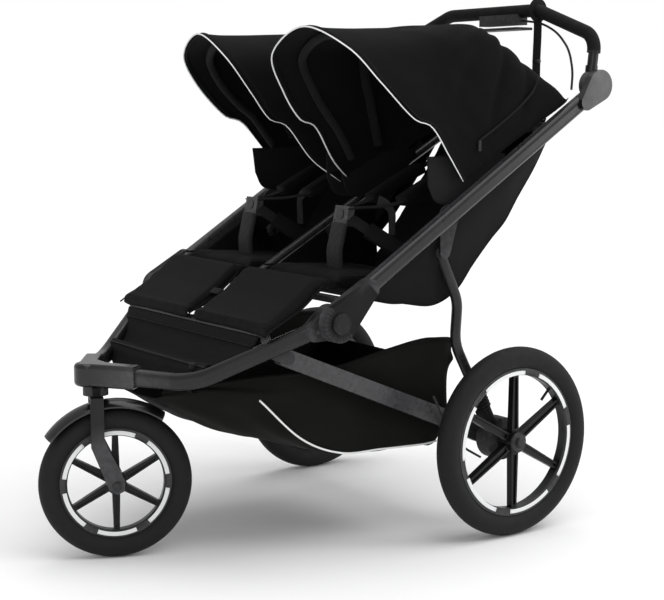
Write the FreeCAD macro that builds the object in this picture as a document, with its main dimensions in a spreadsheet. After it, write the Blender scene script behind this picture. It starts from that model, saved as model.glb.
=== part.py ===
import FreeCAD, Part
import math
import os
import Sketcher
from FreeCAD import Placement, Rotation, Vector

# Double jogging stroller. Millimetres, +Z up, front towards -Y, handlebar towards +Y.
# Every piece is drawn with Y = 0 on the rear axle and is then moved back by axle_y, which puts the
# origin on the floor under the middle of the whole stroller. "left" is the child's left, at +X.

SIZES = {
    "axle_y": 311.0,
    "rear_radius": 200.0,
    "rear_tyre": 23.5,
    "rear_track": 362.0,
    "front_radius": 152.5,
    "front_tyre": 22.25,
    "front_trail": 36.0,
    "steer_y": -781.0,
    "swivel": 22.8,
    "hub_bore": 8.06,
    "axle_radius": 8.0,
    "axle_end": 372.0,
    "spoke_count": 6.0,
    "fork_leg_x": 30.0,
    "fork_leg_width": 26.0,
    "steerer_radius": 12.0,
    "tube_width": 28.0,
    "tube_height": 33.0,
    "tube_round": 11.0,
    "tube_x": 342.0,
    "tube_slope": 0.626,
    "hub_y": -443.0,
    "hub_z": 487.0,
    "hub_radius": 37.0,
    "hub_cap_radius": 21.0,
    "rail_x": 255.0,
    "rail_width": 22.0,
    "rail_height": 38.0,
    "rail_pivot_y": -505.0,
    "rail_pivot_z": 415.0,
    "strut_x": 310.0,
    "strut_radius": 11.0,
    "strut_pivot_y": -160.0,
    "strut_pivot_z": 604.0,
    "drum_radius": 45.0,
    "seat_inner": 25.0,
    "seat_outer": 300.0,
    "seat_back_angle": 53.3,
    "bar_radius": 11.0,
    "grip_radius": 14.5,
    "handle_x": 330.0,
    "handle_pivot_y": 235.0,
    "handle_pivot_z": 939.0,
    "canopy_inner": 20.0,
    "canopy_outer": 314.0,
    "canopy_wall": 4.0,
    "canopy_pivot_y": -130.0,
    "canopy_pivot_z": 742.0,
    "basket_half": 236.0,
    "fabric": 3.0,
}

SIDES = (("left", 1.0), ("right", -1.0))

doc = FreeCAD.newDocument("jogging_stroller")
sheet = doc.addObject("Spreadsheet::Sheet", "Sizes")
for row, (alias, value) in enumerate(SIZES.items(), start=1):
    sheet.set(f"A{row}", alias)
    sheet.set(f"B{row}", str(value))
    sheet.setAlias(f"B{row}", alias)
doc.recompute()


class Size:
    """A length or angle: its number, and the expression on the sheet that gives it."""

    def __init__(self, value, text):
        self.value = value
        self.text = text

    def __add__(self, other):
        return Size(self.value + number(other), f"({self.text} + {words(other)})")

    def __sub__(self, other):
        return Size(self.value - number(other), f"({self.text} - {words(other)})")

    def __mul__(self, other):
        return Size(self.value * number(other), f"({self.text} * {words(other)})")

    def __truediv__(self, other):
        return Size(self.value / number(other), f"({self.text} / {words(other)})")

    def __neg__(self):
        return Size(-self.value, f"(0 - {self.text})")


def number(item):
    return item.value if isinstance(item, Size) else float(item)


def words(item):
    return item.text if isinstance(item, Size) else repr(float(item))


def size(alias):
    return Size(float(sheet.get(alias)), f"Sizes.{alias}")


AXLE_Y = size("axle_y")
NODES = []


def bind(obj, name, value):
    """Set a property, through the sheet where the value comes from it."""
    if isinstance(value, Size):
        obj.setExpression(name, value.text)
    else:
        setattr(obj, name, value)


def place(obj, at, rotation=Rotation()):
    """Put an object at three sizes, each bound to the sheet where it comes from it."""
    obj.Placement = Placement(Vector(*[number(item) for item in at]), rotation)
    for axis, item in zip("xyz", at):
        if isinstance(item, Size):
            obj.setExpression(f"Placement.Base.{axis}", item.text)


def node(obj, label):
    """Name a finished piece that is drawn from the rear axle, and move it to the stroller's frame."""
    obj.Label = label
    obj.setExpression("Placement.Base.y", AXLE_Y.text)
    NODES.append(obj)
    return obj


def single(obj, label, at, rotation):
    """Name a finished piece that is one primitive, and stand it in the stroller's frame."""
    obj.Label = label
    place(obj, (at[0], AXLE_Y + at[1], at[2]), rotation)
    NODES.append(obj)


def solid(name, shape):
    """A piece whose outline no sketch or primitive gives."""
    obj = doc.addObject("Part::Feature", name)
    obj.Shape = shape
    return obj


# ---------------------------------------------------------------- primitives and booleans

TO_X = Rotation(Vector(0, 1, 0), 90)


def cylinder(name, radius, length, at, rotation=TO_X):
    obj = doc.addObject("Part::Cylinder", name)
    bind(obj, "Radius", radius)
    bind(obj, "Height", length)
    place(obj, at, rotation)
    return obj


def box(name, width, depth, height, at, rotation=Rotation()):
    obj = doc.addObject("Part::Box", name)
    bind(obj, "Length", width)
    bind(obj, "Width", depth)
    bind(obj, "Height", height)
    place(obj, at, rotation)
    return obj


def fuse(name, *parts):
    obj = doc.addObject("Part::MultiFuse", name)
    obj.Shapes = list(parts)
    obj.Refine = True
    return obj


def cut(name, base, *tools):
    obj = doc.addObject("Part::Cut", name)
    obj.Base = base
    obj.Tool = tools[0] if len(tools) == 1 else fuse(name + "_tools", *tools)
    obj.Refine = True
    return obj


def copy_of(name, source):
    """A second use of a piece as a cutting tool."""
    obj = doc.addObject("Part::Compound", name)
    obj.Links = [source]
    return obj


def mirror(name, source):
    obj = doc.addObject("Part::Mirroring", name)
    obj.Source = source
    obj.Normal = Vector(1, 0, 0)
    return obj


# ---------------------------------------------------------------- sketches and bodies


def plane_of(body, role):
    return next(item for item in body.Origin.OriginFeatures if item.Role == role)


def sketch(body, role, name, points, offset=0.0):
    """A closed outline with straight sides, each corner held by two dimensions from the origin."""
    outline = body.newObject("Sketcher::SketchObject", name)
    outline.AttachmentSupport = [(plane_of(body, role), "")]
    outline.MapMode = "FlatFace"
    outline.AttachmentOffset = Placement(Vector(0, 0, number(offset)), Rotation())
    if isinstance(offset, Size):
        outline.setExpression("AttachmentOffset.Base.z", offset.text)
    spots = [Vector(number(a), number(b), 0) for a, b in points]
    count = len(spots)
    for i in range(count):
        outline.addGeometry(Part.LineSegment(spots[i], spots[(i + 1) % count]), False)
    hold_corners(outline, points, count)
    return outline


def hold_corners(outline, points, count):
    """Join the sides of an outline end to end and hold every corner."""
    for i in range(count):
        outline.addConstraint(Sketcher.Constraint("Coincident", i, 2, (i + 1) % count, 1))
    for i, corner in enumerate(points):
        for kind, item in zip(("DistanceX", "DistanceY"), corner):
            index = outline.addConstraint(Sketcher.Constraint(kind, -1, 1, i, 1, number(item)))
            if isinstance(item, Size):
                outline.setExpression(f"Constraints[{index}]", item.text)


def pad(body, outline, length, middle=False):
    feature = body.newObject("PartDesign::Pad", outline.Name + "_pad")
    feature.Profile = outline
    bind(feature, "Length", length)
    if middle:
        feature.SideType = "Symmetric"
    return feature


def revolve(body, outline):
    feature = body.newObject("PartDesign::Revolution", outline.Name + "_turn")
    feature.Profile = outline
    feature.ReferenceAxis = (outline, ["V_Axis"])
    feature.Angle = 360.0
    return feature


def repeat_round(body, feature, count):
    """Repeat a feature round the body's Z axis."""
    pattern = body.newObject("PartDesign::PolarPattern", feature.Name + "_round")
    pattern.Originals = [feature]
    pattern.Axis = (next(i for i in body.Origin.OriginFeatures if i.Role == "Z_Axis"), [""])
    pattern.Angle = 360.0
    bind(pattern, "Occurrences", count)
    body.Tip = pattern
    return pattern


def round_edges(body, base, along, radius):
    """Round the edges of a pad that run along one direction."""
    doc.recompute()
    names = []
    for i, edge in enumerate(base.Shape.Edges, start=1):
        if edge.Curve.TypeId != "Part::GeomLine":
            continue
        if abs(edge.tangentAt(edge.FirstParameter).dot(along)) > 0.999:
            names.append(f"Edge{i}")
    feature = body.newObject("PartDesign::Fillet", base.Name + "_round")
    feature.Base = (base, names)
    bind(feature, "Radius", radius)
    return feature


def slab(name, points, start, width, rounding=0.0):
    """A plate whose outline is in the Y-Z plane, from X = start, with rounded corners."""
    body = doc.addObject("PartDesign::Body", name)
    outline = sketch(body, "YZ_Plane", name + "_outline", points, start)
    feature = pad(body, outline, width)
    if rounding:
        round_edges(body, feature, Vector(1, 0, 0), rounding)
    return body


# ---------------------------------------------------------------- routes and swept tubes


def route(points, radii):
    """Straight runs through the points, joined by tangent arcs."""
    spots = [Vector(*point) for point in points]
    edges = []
    start = spots[0]
    for i, radius in enumerate(radii, start=1):
        before = (spots[i - 1] - spots[i]).normalize()
        after = (spots[i + 1] - spots[i]).normalize()
        half = before.getAngle(after) / 2.0
        reach = radius / math.tan(half)
        middle = spots[i] + (before + after).normalize() * (radius / math.sin(half) - radius)
        first = spots[i] + before * reach
        last = spots[i] + after * reach
        edges.append(Part.LineSegment(start, first).toShape())
        edges.append(Part.Arc(first, middle, last).toShape())
        start = last
    edges.append(Part.LineSegment(start, spots[-1]).toShape())
    return Part.Wire(edges)


def tube(name, points, radii, radius):
    """A round tube or rod along a route."""
    path = solid(name + "_path", route(points, radii))
    ring = doc.addObject("Part::Circle", name + "_ring")
    bind(ring, "Radius", radius)
    along = Vector(*points[1]) - Vector(*points[0])
    ring.Placement = Placement(Vector(*points[0]), Rotation(Vector(0, 0, 1), along))
    sweep = doc.addObject("Part::Sweep", name)
    sweep.Sections = [ring]
    sweep.Spine = (path, [f"Edge{i + 1}" for i in range(len(path.Shape.Edges))])
    sweep.Solid = True
    return sweep


def oblong(width, height, corner):
    """A rectangle with round corners, lying in the X-Y plane."""
    arcs = []
    for i, (sx, sy) in enumerate(((1, 1), (-1, 1), (-1, -1), (1, -1))):
        cx = sx * (width / 2 - corner)
        cy = sy * (height / 2 - corner)
        turn = math.radians(90 * i)
        arc = [Vector(cx + corner * math.cos(turn + k), cy + corner * math.sin(turn + k), 0)
               for k in (0, math.pi / 4, math.pi / 2)]
        arcs.append(Part.Arc(*arc))
    edges = []
    for i in range(4):
        edges.append(arcs[i].toShape())
        edges.append(Part.LineSegment(arcs[i].EndPoint, arcs[(i + 1) % 4].StartPoint).toShape())
    return Part.Wire(edges)


def shaped_tube(points, radii, width, height, corner):
    """A tube of rounded rectangular section, its wide side kept level across the route."""
    path = route(points, radii)
    along = (Vector(*points[1]) - Vector(*points[0])).normalize()
    across = along.cross(Vector(0, 0, 1)).normalize()
    upward = across.cross(along).normalize()
    section = oblong(width, height, corner)
    turn = Rotation(across, upward, along * -1.0, "ZXY")
    section.Placement = Placement(Vector(*points[0]), turn)
    return path.makePipeShell([section], True, False)


# ---------------------------------------------------------------- wheels


def wheel_rim(name, radius, half_width, hub_radius, hub_from, hub_to, bore, spoke):
    """A cast rim: hub, six tapered channel spokes and a bead ring, turned about Z."""
    inner = radius - 15.0
    body = doc.addObject("PartDesign::Body", name)
    hub = sketch(body, "XZ_Plane", name + "_hub",
                 [(bore, hub_from), (hub_radius, hub_from), (hub_radius, hub_to - 3.0),
                  (hub_radius - 3.0, hub_to), (bore, hub_to)])
    revolve(body, hub)
    root = hub_radius - 4.0
    arm = sketch(body, "XY_Plane", name + "_arm",
                 [(root, -spoke), (inner + 3.0, -spoke * 0.72), (inner + 3.0, spoke * 0.72), (root, spoke)])
    repeat_round(body, pad(body, arm, 15.0, middle=True), size("spoke_count"))
    channel = sketch(body, "XY_Plane", name + "_channel",
                     [(hub_radius + 6.0, -spoke * 0.5), (inner - 5.0, -spoke * 0.34),
                      (inner - 5.0, spoke * 0.34), (hub_radius + 6.0, spoke * 0.5)], 7.5)
    doc.recompute()
    groove = body.newObject("PartDesign::Pocket", name + "_groove")
    groove.Profile = channel
    groove.Length = 4.0
    repeat_round(body, groove, size("spoke_count"))
    ring = sketch(body, "XZ_Plane", name + "_ring",
                  [(inner, half_width - 4.0), (inner + 4.0, half_width), (radius, half_width),
                   (radius, -half_width), (inner + 4.0, -half_width), (inner, 4.0 - half_width)])
    revolve(body, ring)
    return body


def tyre(name, radius, thickness, seat):
    """A pneumatic tyre with a flat bead seat, turned about Z."""
    torus = doc.addObject("Part::Torus", name + "_torus")
    bind(torus, "Radius1", radius - thickness)
    bind(torus, "Radius2", thickness)
    bore = cylinder(name + "_seat", seat, 60.0, (0, 0, -30), Rotation())
    return cut(name, torus, bore)


def at_rear(obj, label, side, rotation):
    """Stand a wheel part on the rear axle."""
    obj.Label = label
    place(obj, (size("rear_track") * side, AXLE_Y, size("rear_radius")), rotation)
    NODES.append(obj)


def rear_wheels():
    for label, side in SIDES:
        outward = Rotation(Vector(0, 1, 0), 90 * side)
        rim = wheel_rim("rear_rim_" + label, 156.0, 14.0, 22.0, -24.0, 20.0, size("hub_bore"), 9.5)
        at_rear(rim, "rear_rim_" + label, side, outward)
        rubber = tyre("rear_tyre_" + label, size("rear_radius"), size("rear_tyre"), 156.0)
        at_rear(rubber, "rear_tyre_" + label, side, outward)
        button = doc.addObject("PartDesign::Body", "release_button_" + label)
        profile = sketch(button, "XZ_Plane", "release_profile_" + label,
                         [(0, 15.0), (0, 28.0), (8.0, 28.0), (10.5, 26.0), (10.5, 24.0), (7.4, 24.0), (7.4, 15.0)])
        revolve(button, profile)
        at_rear(button, "release_button_" + label, side, outward)


def on_fork(obj, label, rotation=Rotation()):
    """Turn a piece of the swivelling front assembly with the fork."""
    obj.Label = label
    turn = Rotation(Vector(0, 0, 1), -SIZES["swivel"])
    centre = Vector(0, SIZES["front_trail"], SIZES["front_radius"])
    base = turn.multVec(centre) if rotation != Rotation() else Vector(0, 0, 0)
    place(obj, (base.x, AXLE_Y + size("steer_y") + base.y, base.z), turn.multiply(rotation))
    NODES.append(obj)


def front_wheel():
    rim = wheel_rim("front_rim", 111.0, 12.0, 20.0, -26.0, 26.0, 6.06, 8.0)
    on_fork(rim, "front_rim", TO_X)
    on_fork(tyre("front_tyre", size("front_radius"), size("front_tyre"), 111.0), "front_tyre", TO_X)


# ---------------------------------------------------------------- fork and steering


def fork_leg(name, start):
    trail = size("front_trail")
    axle = size("front_radius")
    half = size("fork_leg_width") / 2.0
    return slab(name, [(-half, 331.0), (half, 331.0), (half, 245.0), (trail + 15.0, axle + 12.0),
                       (trail + 15.0, axle - 10.0), (trail, axle - 17.0), (trail - 15.0, axle - 8.0),
                       (-half, 232.0)], start, 9.0, 5.0)


def fork():
    near = fork_leg("fork_leg_a", size("fork_leg_x"))
    far = fork_leg("fork_leg_b", -size("fork_leg_x") - 9.0)
    crown = box("fork_crown", 78.0, size("fork_leg_width"), 7.0, (-39, -size("fork_leg_width") / 2.0, 324))
    steerer = cylinder("fork_steerer", size("steerer_radius"), 63.0, (0, 0, 329), Rotation())
    hole = cylinder("fork_axle_hole", 6.0, 90.0, (-45, size("front_trail"), size("front_radius")))
    on_fork(cut("fork_drilled", fuse("fork_joined", near, far, crown, steerer), hole), "fork")

    axle = cylinder("front_axle_rod", 6.0, 82.0, (-41, size("front_trail"), size("front_radius")))
    heads = [cylinder(f"front_axle_head_{i}", 9.0, 5.0, (x, size("front_trail"), size("front_radius")))
             for i, x in enumerate((39.0, -44.0))]
    on_fork(fuse("front_axle_joined", axle, *heads), "front_axle")


def mudguard():
    """An arched guard over the front tyre, from behind the crown down to the front."""
    hub = Vector(0, SIZES["front_trail"], SIZES["front_radius"])
    start = math.radians(54.0)
    spoke = Vector(0, math.cos(start), math.sin(start))
    rows = []
    for radius in (170.5, 167.5):
        rows.append([hub + spoke * (radius - 12.0) + Vector(-28.8, 0, 0), hub + spoke * radius,
                     hub + spoke * (radius - 12.0) + Vector(28.8, 0, 0)])
    edges = [Part.Arc(*rows[0]).toShape(), Part.LineSegment(rows[0][2], rows[1][2]).toShape(),
             Part.Arc(*reversed(rows[1])).toShape(), Part.LineSegment(rows[1][0], rows[0][0]).toShape()]
    shape = Part.Face(Part.Wire(edges)).revolve(hub, Vector(1, 0, 0), 90.0)
    on_fork(solid("mudguard", shape), "mudguard")


def swivel_lock():
    """A collar with two wings that pins the steerer straight."""
    ring = cylinder("swivel_ring", 25.0, 19.0, (0, 0, 332), Rotation())
    wings = box("swivel_wings", 60.0, 15.0, 9.0, (-30, -7.5, 341))
    bore = cylinder("swivel_bore", 12.3, 30.0, (0, 0, 325), Rotation())
    on_fork(cut("swivel_cut", fuse("swivel_joined", ring, wings), bore), "swivel_lock")


# ---------------------------------------------------------------- front frame

SIDE_ROUTE = [(70.0, -753.0, 375.0), (185.0, -665.0, 370.0), (318.0, -492.0, 468.0), (333.0, -446.0, 500.0)]


def front_tube_shape(side):
    points = [(x, y, z) for x, y, z in SIDE_ROUTE]
    bent = shaped_tube(points, [170.0, 60.0], SIZES["tube_width"], SIZES["tube_height"], SIZES["tube_round"])
    centre = (SIZES["hub_y"], SIZES["hub_z"])
    room = hull_plate(centre, SIZES["hub_radius"] + 0.6, (-372.0, tube_z(-372.0)), 20.1, 336.6, 30.0)
    return sided(bent.cut(room), side)


def head_shape():
    """The steering head: a rounded nose with a socket for each front tube."""
    half = [(26.0, -805.0), (104.0, -752.0), (81.0, -721.0), (22.0, -760.0)]
    mirrored = [(-x, y) for x, y in reversed(half)]
    corners = [Vector(x, y, 352.0) for x, y in half + mirrored]
    edges = [Part.LineSegment(a, b).toShape() for a, b in zip(corners, corners[1:])]
    edges.append(Part.Arc(corners[-1], Vector(0, -824.0, 352.0), corners[0]).toShape())
    block = Part.Face(Part.Wire(edges)).extrude(Vector(0, 0, 46.0))
    rims = [edge for edge in block.Edges if abs(edge.Vertexes[0].Z - edge.Vertexes[-1].Z) < 0.01]
    return block.makeFillet(9.0, rims)


def front_frame():
    bore = Part.makeCylinder(SIZES["steerer_radius"] + 0.06, 42.0, Vector(0, SIZES["steer_y"], 351.0))
    head = head_shape().cut(bore)
    plates = []
    for label, side in SIDES:
        front = front_tube_shape(side)
        head = head.cut(front)
        node(solid("front_tube_" + label, front), "front_tube_" + label)
        plates.append(fold_plate(label, side, front))
    node(solid("steering_head", head), "steering_head")
    node(solid("fold_plates", Part.makeCompound(plates)), "fold_plates")


def hull_plate(first, first_radius, second, second_radius, start, width):
    """A plate in the Y-Z plane that wraps two discs, from X = start."""
    gap = Vector(0, second[0] - first[0], second[1] - first[1])
    lean = math.acos((first_radius - second_radius) / gap.Length)
    heading = math.atan2(gap.z, gap.y)
    rims = []
    for centre, radius in ((first, first_radius), (second, second_radius)):
        for turn in (lean, -lean):
            rims.append(Vector(start, centre[0] + radius * math.cos(heading + turn),
                               centre[1] + radius * math.sin(heading + turn)))
    back = Vector(start, first[0] - first_radius * math.cos(heading), first[1] - first_radius * math.sin(heading))
    front = Vector(start, second[0] + second_radius * math.cos(heading),
                   second[1] + second_radius * math.sin(heading))
    edges = [Part.Arc(rims[0], back, rims[1]).toShape(), Part.LineSegment(rims[1], rims[3]).toShape(),
             Part.Arc(rims[3], front, rims[2]).toShape(), Part.LineSegment(rims[2], rims[0]).toShape()]
    return Part.Face(Part.Wire(edges)).extrude(Vector(width, 0, 0))


def sided(shape, side):
    return shape if side > 0 else shape.mirror(Vector(0, 0, 0), Vector(1, 0, 0))


def fold_plate(label, side, front):
    """The fixed half of a fold joint with its pin, and the lug that carries the rail's pin."""
    centre = (SIZES["hub_y"], SIZES["hub_z"])
    plate = hull_plate(centre, 34.0, (-486.0, 470.0), 17.0, 312.0, 24.5)
    pin = Part.makeCylinder(9.0, 22.0, Vector(336.0, *centre), Vector(1, 0, 0))
    rail = (SIZES["rail_pivot_y"], SIZES["rail_pivot_z"])
    lug = hull_plate(rail, 13.0, (-548.0, 432.0), 12.0, 268.0, 8.0)
    rail_pin = Part.makeCylinder(6.0, 30.0, Vector(239.0, *rail), Vector(1, 0, 0))
    joined = plate.fuse(pin)
    lug = lug.fuse(rail_pin)
    return Part.makeCompound([sided(joined, side).cut(front), sided(lug, side).cut(front)])


def foot_bars():
    tubes = Part.makeCompound([front_tube_shape(side) for _, side in SIDES])
    ends = solid("front_tubes_tool", tubes)
    bar = tube("foot_bar_rod", [(-276, -553, 434), (-262, -553, 461), (262, -553, 461), (276, -553, 434)],
               [12.0, 12.0], size("bar_radius") - 1.0)
    node(cut("foot_bar", bar, ends), "foot_bar")
    step = cylinder("step_bar_rod", 9.0, 420.0, (-210, -637, 392))
    node(cut("step_bar", step, copy_of("front_tubes_again", ends)), "step_bar")


def footwell():
    """A shallow fabric tray under the children's feet."""
    def prism(inset, low, high):
        corners = [(150 - inset, -655 + inset), (218 - inset, -572 - inset)]
        loop = [Vector(x, y, low) for x, y in corners] + [Vector(-x, y, low) for x, y in reversed(corners)]
        return Part.Face(Part.makePolygon(loop + loop[:1])).extrude(Vector(0, 0, high - low))
    fabric = SIZES["fabric"]
    node(solid("footwell", prism(0, 346, 378).cut(prism(fabric, 346 + fabric, 390))), "footwell")


def calf_pads():
    lean = Rotation(Vector(1, 0, 0), 40.5)
    for label, side in SIDES:
        start = 22.0 if side > 0 else -276.0
        at = (start, -531, 462)
        single(box("calf_pad_box_" + label, 254.0, 130.0, 13.0, at), "calf_pad_" + label, at, lean)


def basket():
    """The storage basket: a sagging fabric tub, open at the top."""
    outline = [(-600, 330), (-520, 268), (-440, 222), (-370, 203), (-110, 195), (40, 235), (75, 372),
               (-110, 405), (-390, 372), (-560, 372)]

    def tub(inset, lift, half):
        middle_y = sum(y for y, _ in outline) / len(outline)
        middle_z = sum(z for _, z in outline) / len(outline)
        loop = []
        for y, z in outline:
            reach = math.hypot(y - middle_y, z - middle_z)
            shrink = 1.0 - inset / reach
            top = lift if z > 360 else 0.0
            loop.append(Vector(-half, middle_y + (y - middle_y) * shrink, middle_z + (z - middle_z) * shrink + top))
        return Part.Face(Part.makePolygon(loop + loop[:1])).extrude(Vector(2 * half, 0, 0))

    half = SIZES["basket_half"]
    shell = tub(0.0, 0.0, half).cut(tub(5.0, 40.0, half - SIZES["fabric"]))
    node(solid("basket", shell), "basket")


# ---------------------------------------------------------------- upper frame


def tube_z(y):
    """Height of the upper tube's centre line."""
    return 530.0 + (y + 400.0) * SIZES["tube_slope"]


def upper_tube_shape(side):
    """The straight side tube from the fold joint up to the handlebar's disc."""
    x = SIZES["tube_x"] * side
    first = Vector(x, -398.0, tube_z(-398.0))
    run = Vector(x, 206.0, tube_z(206.0)) - first
    across = Vector(1, 0, 0)
    section = oblong(SIZES["tube_width"], SIZES["tube_height"], SIZES["tube_round"])
    section.Placement = Placement(first, Rotation(across, run.cross(across), run, "ZXY"))
    return Part.Face(section).extrude(run)


def handle_socket(side):
    """The disc at the upper tube's end that the handlebar turns on."""
    centre = (SIZES["handle_pivot_y"], SIZES["handle_pivot_z"])
    outer = hull_plate(centre, 33.0, (196.0, tube_z(196.0)), 17.0, 346.5, 17.0)
    pin = Part.makeCylinder(8.0, 13.0, Vector(334.5, *centre), Vector(1, 0, 0))
    return sided(outer.fuse(pin), side)


def fold_hub(side, upper):
    """The moving half of a fold joint: a sleeve on the upper tube and a disc with a cap."""
    centre = (SIZES["hub_y"], SIZES["hub_z"])
    shell = hull_plate(centre, SIZES["hub_radius"], (-372.0, tube_z(-372.0)), 19.5, 337.0, 24.0)
    cap = Part.makeCylinder(SIZES["hub_cap_radius"], 3.0, Vector(361.0, *centre), Vector(1, 0, 0))
    bore = Part.makeCylinder(9.05, 21.5, Vector(336.9, *centre), Vector(1, 0, 0))
    return sided(shell.fuse(cap).cut(bore), side).cut(upper)


def strut_bracket(side, upper):
    pivot = (SIZES["strut_pivot_y"], SIZES["strut_pivot_z"])
    plate = hull_plate(pivot, 13.0, (-150.0, 676.0), 24.0, 322.3, 5.5)
    pin = Part.makeCylinder(6.0, 26.0, Vector(297.0, *pivot), Vector(1, 0, 0))
    return sided(plate.fuse(pin), side).cut(upper)


def upper_frame():
    uppers = []
    brackets = []
    for label, side in SIDES:
        upper = upper_tube_shape(side)
        uppers.append(upper)
        hub = fold_hub(side, upper)
        socket = handle_socket(side).cut(upper)
        brackets.append(strut_bracket(side, upper))
        node(solid("upper_tube_" + label, upper.fuse(socket).removeSplitter()), "upper_tube_" + label)
        node(solid("fold_hub_" + label, hub), "fold_hub_" + label)
    node(solid("strut_brackets", Part.makeCompound(brackets)), "strut_brackets")
    tubes = solid("upper_tubes_tool", Part.makeCompound(uppers))
    bar = cylinder("back_bar_rod", size("bar_radius"), 660.0, (-330, 118, 850))
    node(cut("back_bar", bar, tubes), "back_bar")
    spine = tube("centre_spine", [(0, -458, 513), (0, -380, 556), (0, 112, 834)], [200.0], 9.0)
    cross = cylinder("centre_cross", 8.0, 656.0, (-328, -405, 523))
    frame = fuse("centre_joined", spine, cross)
    tool = cylinder("centre_end_tool", size("bar_radius"), 60.0, (-30, 118, 850))
    node(cut("centre_frame", frame, tool, copy_of("upper_tubes_again", tubes)), "centre_frame")


def seats():
    inner = size("seat_inner")
    width = size("seat_outer") - inner
    outline = [(-428, 552), (-432, 566), (-420, 574), (-160, 556), (-152, 540), (-184, 500), (-254, 503), (-342, 524)]
    for label, side in SIDES:
        start = inner if side > 0 else -size("seat_outer")
        node(slab("seat_" + label, outline, start, width, 4.0), "seat_" + label)
    back = [(-112, 538), (96, 817), (72, 835), (-136, 556)]
    for label, side in SIDES:
        start = inner + 3.0 if side > 0 else -size("seat_outer") + 14.0
        node(slab("backrest_" + label, back, start, width - 17.0, 9.0), "backrest_" + label)


TILT = Rotation(Vector(1, 0, 0), -12)
PRESS = Rotation(Vector(1, 0, 0), 78)


def harnesses():
    """Shoulder pads on each backrest, and the lap straps, crotch pads and buckles of both seats."""
    laps = []
    clasps = []
    for label, side in SIDES:
        centre = 170.0 * side
        pads = [box("shoulder_pad", 38.0, 11.0, 170.0, (centre + x - 19, -124, 602), Rotation(Vector(1, 0, 0), -36.7))
                for x in (-52, 52)]
        group = doc.addObject("Part::Compound", "shoulder_straps_" + label)
        group.Links = pads
        node(group, "shoulder_straps_" + label)
        laps.append(box("crotch", 34.0, 12.0, 78.0, (centre - 17, -330, 578), TILT))
        laps += [box("lap_strap", 60.0, 9.0, 24.0, (centre + x, -304, 662), TILT) for x in (24, -84)]
        clasp = box("clasp_" + label, 46.0, 16.0, 40.0, (centre - 23, -311, 656), TILT)
        well = cylinder("clasp_well_" + label, 9.3, 10.0, (centre, -298.6, 675.8), PRESS)
        clasps.append(cut("clasp_cut_" + label, clasp, well))
        at = (centre, -301.5, 676.5)
        single(cylinder("buckle_press_" + label, 9.0, 6.5, at), "buckle_button_" + label, at, PRESS)
    for name, parts in (("lap_straps", laps), ("buckles", clasps)):
        group = doc.addObject("Part::Compound", name)
        group.Links = parts
        node(group, name)


# ---------------------------------------------------------------- handlebar

ARM_FOOT, ARM_TOP = (238.0, 962.0), (248.0, 1043.0)
CROSSBAR = (150.0, 250.0, 1106.0)
ARM_LEAN = (ARM_TOP[0] - ARM_FOOT[0]) / (ARM_TOP[1] - ARM_FOOT[1])
BENDS = [45.0, 80.0, 80.0, 45.0]


def handle_route(trim):
    """The bar from one pivot up, in to the crossbar and down to the other, each end shortened by trim."""
    x = SIZES["handle_x"]
    half = [(x, ARM_FOOT[0] + trim * ARM_LEAN, ARM_FOOT[1] + trim), (x, *ARM_TOP), CROSSBAR]
    other = [(-a, b, c) for a, b, c in reversed(half)]
    return half + other


def handlebar():
    bar = tube("handle_bar", handle_route(0.0), BENDS, size("bar_radius"))
    knuckles = []
    for label, side in SIDES:
        pivot = (SIZES["handle_pivot_y"], SIZES["handle_pivot_z"])
        disc = Part.makeCylinder(31.0, 18.5, Vector(327.5, *pivot), Vector(1, 0, 0))
        neck = Part.makeCylinder(13.0, 22.0, Vector(SIZES["handle_x"], 237.0, 959.0), Vector(0, 0.09, 1))
        trim_box = Part.makeBox(40.0, 80.0, 80.0, Vector(346.0, 195.0, 900.0))
        bore = Part.makeCylinder(8.06, 40.0, Vector(320.0, *pivot), Vector(1, 0, 0))
        well = Part.makeCylinder(12.3, 6.5, Vector(327.5, *pivot), Vector(1, 0, 0))
        knuckle = disc.fuse(neck).cut(bore).cut(trim_box).cut(well)
        knuckles.append(solid("knuckle_" + label, sided(knuckle, side)))
    pins = [cylinder(f"handle_bore_{i}", 8.06, 40.0, (x, size("handle_pivot_y"), size("handle_pivot_z")))
            for i, x in enumerate((310.0, -350.0))]
    node(cut("handle_tube", fuse("handle_joined", bar, *knuckles), *pins), "handle_tube")
    skin = tube("grip_skin", handle_route(46.0), BENDS, size("grip_radius"))
    core = tube("grip_core", handle_route(0.0), BENDS, size("bar_radius"))
    node(cut("handle_grip", skin, core), "handle_grip")
    for label, side in SIDES:
        start = 322.5 if side > 0 else -330.5
        at = (start, size("handle_pivot_y"), size("handle_pivot_z"))
        single(cylinder("handle_press_" + label, 12.0, 8.0, at), "handle_button_" + label, at, TO_X)


def brake_hand_parts():
    """The console under the grip with its lever."""
    body = box("console_body", 130.0, 30.0, 24.0, (-30, 235, 1076))
    grip = tube("console_tool", handle_route(46.0), BENDS, size("grip_radius"))
    node(cut("brake_console", body, grip), "brake_console")
    lever = slab("brake_lever_body", [(216, 1064), (216, 1070), (266, 1070), (266, 1064)], -26.0, 142.0, 2.5)
    node(lever, "brake_lever")
    cable = tube("handle_cable_cord", [(100, 250, 1085), (165, 246, 1078), (230, 234, 1054), (280, 221, 1015),
                                       (304, 209, 968), (312, 198, 930)], [218.0, 190.0, 112.0, 136.0], 2.5)
    node(cable, "handle_cable")


# ---------------------------------------------------------------- canopies

CANOPY = [(-118, 745), (-238, 868), (-402, 1036), (-330, 1060), (-180, 1066), (-60, 1056), (20, 1029),
          (136, 956), (176, 914)]


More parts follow.
